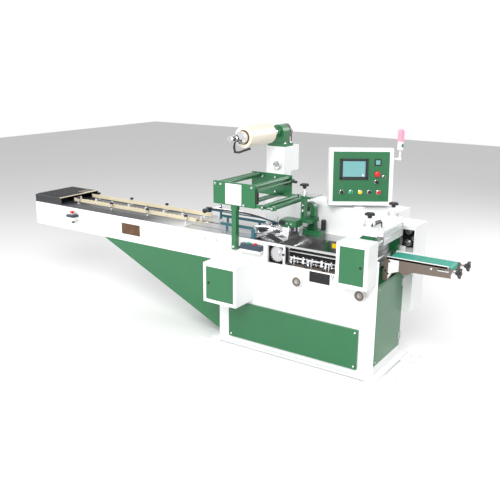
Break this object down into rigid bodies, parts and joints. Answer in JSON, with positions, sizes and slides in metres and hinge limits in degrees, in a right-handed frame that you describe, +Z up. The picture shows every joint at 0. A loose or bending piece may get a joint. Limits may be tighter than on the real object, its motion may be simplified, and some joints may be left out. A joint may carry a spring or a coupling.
{
  "type": "horizontal flow wrapper",
  "caption": "Horizontal flow wrapper with chain infeed, film reel and frame, folding box, seam castings, rotary end sealer, short discharge belt and swivelling control panel.",
  "frame": {"origin": "on the floor, midway between the four anchor holes", "axes": "+X with the product from infeed to discharge, +Y from the operator's side to the rear, +Z up"},
  "size_m": [3.9519, 1.01, 1.686],
  "materials": {
    "white_paint": "semi-gloss powder coat",
    "green_paint": "semi-gloss enamel",
    "black_paint": "satin",
    "taupe_paint": "satin",
    "dark_bed": "satin, grooved",
    "steel": "brushed",
    "chrome": "polished",
    "black_plastic": "fine grain",
    "white_plastic": "smooth",
    "cream_plastic": "smooth",
    "teal_plastic": "smooth",
    "navy_plastic": "fine grain",
    "green_plastic": "gloss",
    "red_plastic": "gloss",
    "red_lamp": "translucent gloss",
    "clear_plastic": "clear",
    "film": "wound film",
    "teal_belt": "satin belt"
  },
  "bodies": {
    "machine": {"base_frame": "white_paint", "main_housing": "white_paint", "front_panel": "white_paint", "front_cover_panel": "green_paint", "right_end_panel": "green_paint", "infeed_frame": "white_paint", "infeed_gusset": "green_paint", "infeed_bed": "dark_bed", "pusher_chain": "steel", "pusher_lugs": "white_plastic", "infeed_end_cover": "black_paint", "guide_rails": "cream_plastic", "table_plate": "steel", "seam_head": "green_paint", "pressure_brackets": "chrome", "gear_wheel": "steel", "film_former": "chrome", "former_shoulder": "black_paint", "entry_guides": "teal_plastic", "film_frame_front": "green_paint", "film_frame_rear": "green_paint", "film_rollers": "green_paint", "reel_column": "white_paint", "bearing_block": "green_paint", "rear_cabinet": "white_paint", "sealer_housing": "white_paint", "electrical_box": "white_paint", "drive_box": "white_paint", "run_station": "navy_plastic", "infeed_stop_station": "white_plastic", "end_sealer_frame": "green_paint", "sealer_bridge": "white_paint", "discharge_frame": "taupe_paint", "discharge_belt": "teal_belt", "panel_stand": "white_paint"},
    "control_panel": {"control_box": "white_paint", "control_face": "green_paint", "signal_lamp": "red_lamp"},
    "reel": {"spindle": "chrome", "film_roll": "film", "brake_pulley": "dark_bed"},
    "electrical_door": {"electrical_box_door": "green_paint"},
    "drive_door": {"drive_box_door": "green_paint"},
    "guard": {"sealer_guard": "clear_plastic"},
    "upper_jaw": {"upper_jaw": "steel"},
    "lower_jaw": {"lower_jaw": "steel"},
    "seam_handwheel": {"seam_handwheel": "taupe_paint"},
    "jaw_handwheel": {"jaw_handwheel": "taupe_paint"},
    "column_knob": {"column_knob": "chrome"},
    "start_button": {"start_button": "green_plastic"},
    "stop_button": {"stop_button": "red_plastic"},
    "infeed_stop_button": {"infeed_stop_button": "red_plastic"},
    "seam_knob": {"seam_knob": "black_plastic"},
    "front_sealer_knob": {"front_sealer_knob": "black_plastic"},
    "rear_sealer_knob": {"rear_sealer_knob": "black_plastic"},
    "front_tension_knob": {"front_tension_knob": "black_plastic"},
    "rear_tension_knob": {"rear_tension_knob": "black_plastic"}
  },
  "joints": [
    {"name": "panel_swivel", "type": "hinge", "parent": "machine", "child": "control_panel", "pos_m": [0.23514, 0.28686, 1.09], "axis": [0, 0, 1], "range_deg": [-30, 30]},
    {"name": "reel_spin", "type": "hinge", "parent": "machine", "child": "reel", "pos_m": [-0.4595, -0.279, 1.61], "axis": [0, 1, 0], "continuous": true},
    {"name": "electrical_door_hinge", "type": "hinge", "parent": "machine", "child": "electrical_door", "pos_m": [-0.3755, -0.504, 0.393], "axis": [0, 0, 1], "range_deg": [0, 110]},
    {"name": "drive_door_hinge", "type": "hinge", "parent": "machine", "child": "drive_door", "pos_m": [0.4515, -0.434, 0.702], "axis": [0, 0, -1], "range_deg": [0, 110]},
    {"name": "guard_hinge", "type": "hinge", "parent": "machine", "child": "guard", "pos_m": [0.6505, -0.279, 1.064], "axis": [0, -1, 0], "range_deg": [0, 95]},
    {"name": "upper_jaw_spin", "type": "hinge", "parent": "machine", "child": "upper_jaw", "pos_m": [0.5565, -0.029, 0.93415], "axis": [0, 1, 0], "continuous": true},
    {"name": "lower_jaw_spin", "type": "hinge", "parent": "machine", "child": "lower_jaw", "pos_m": [0.5565, -0.029, 0.81785], "axis": [0, 1, 0], "continuous": true},
    {"name": "seam_handwheel_spin", "type": "hinge", "parent": "machine", "child": "seam_handwheel", "pos_m": [0.0495, -0.279, 0.621], "axis": [0, 1, 0], "continuous": true},
    {"name": "jaw_handwheel_spin", "type": "hinge", "parent": "machine", "child": "jaw_handwheel", "pos_m": [0.5395, -0.279, 0.614], "axis": [0, 1, 0], "continuous": true},
    {"name": "column_knob_spin", "type": "hinge", "parent": "machine", "child": "column_knob", "pos_m": [-0.4275, 0.201, 1.361], "axis": [0, 1, 0], "continuous": true},
    {"name": "start_button_press", "type": "slide", "parent": "machine", "child": "start_button", "axis": [0, 0, -1], "range_m": [0, 0.003], "stiffness_N_per_m": 500, "springref_m": -0.002},
    {"name": "stop_button_press", "type": "slide", "parent": "machine", "child": "stop_button", "axis": [0, 0, -1], "range_m": [0, 0.003], "stiffness_N_per_m": 500, "springref_m": -0.002},
    {"name": "infeed_stop_press", "type": "slide", "parent": "machine", "child": "infeed_stop_button", "axis": [0, 0, -1], "range_m": [0, 0.004]},
    {"name": "seam_knob_spin", "type": "hinge", "parent": "machine", "child": "seam_knob", "pos_m": [-0.0915, 0.026, 1.236], "axis": [0, 0, 1], "continuous": true},
    {"name": "front_sealer_knob_spin", "type": "hinge", "parent": "machine", "child": "front_sealer_knob", "pos_m": [0.5565, -0.244, 1.1493], "axis": [0, 0, 1], "continuous": true},
    {"name": "rear_sealer_knob_spin", "type": "hinge", "parent": "machine", "child": "rear_sealer_knob", "pos_m": [0.5565, 0.166, 1.1493], "axis": [0, 0, 1], "continuous": true},
    {"name": "front_tension_knob_spin", "type": "hinge", "parent": "machine", "child": "front_tension_knob", "pos_m": [1.1218, -0.1245, 0.838], "axis": [1, 0, 0], "continuous": true},
    {"name": "rear_tension_knob_spin", "type": "hinge", "parent": "machine", "child": "rear_tension_knob", "pos_m": [1.1218, 0.0665, 0.838], "axis": [1, 0, 0], "continuous": true}
  ],
  "couplings": [
    {"joint": "lower_jaw_spin", "follows": "upper_jaw_spin", "ratio": -1}
  ]
}
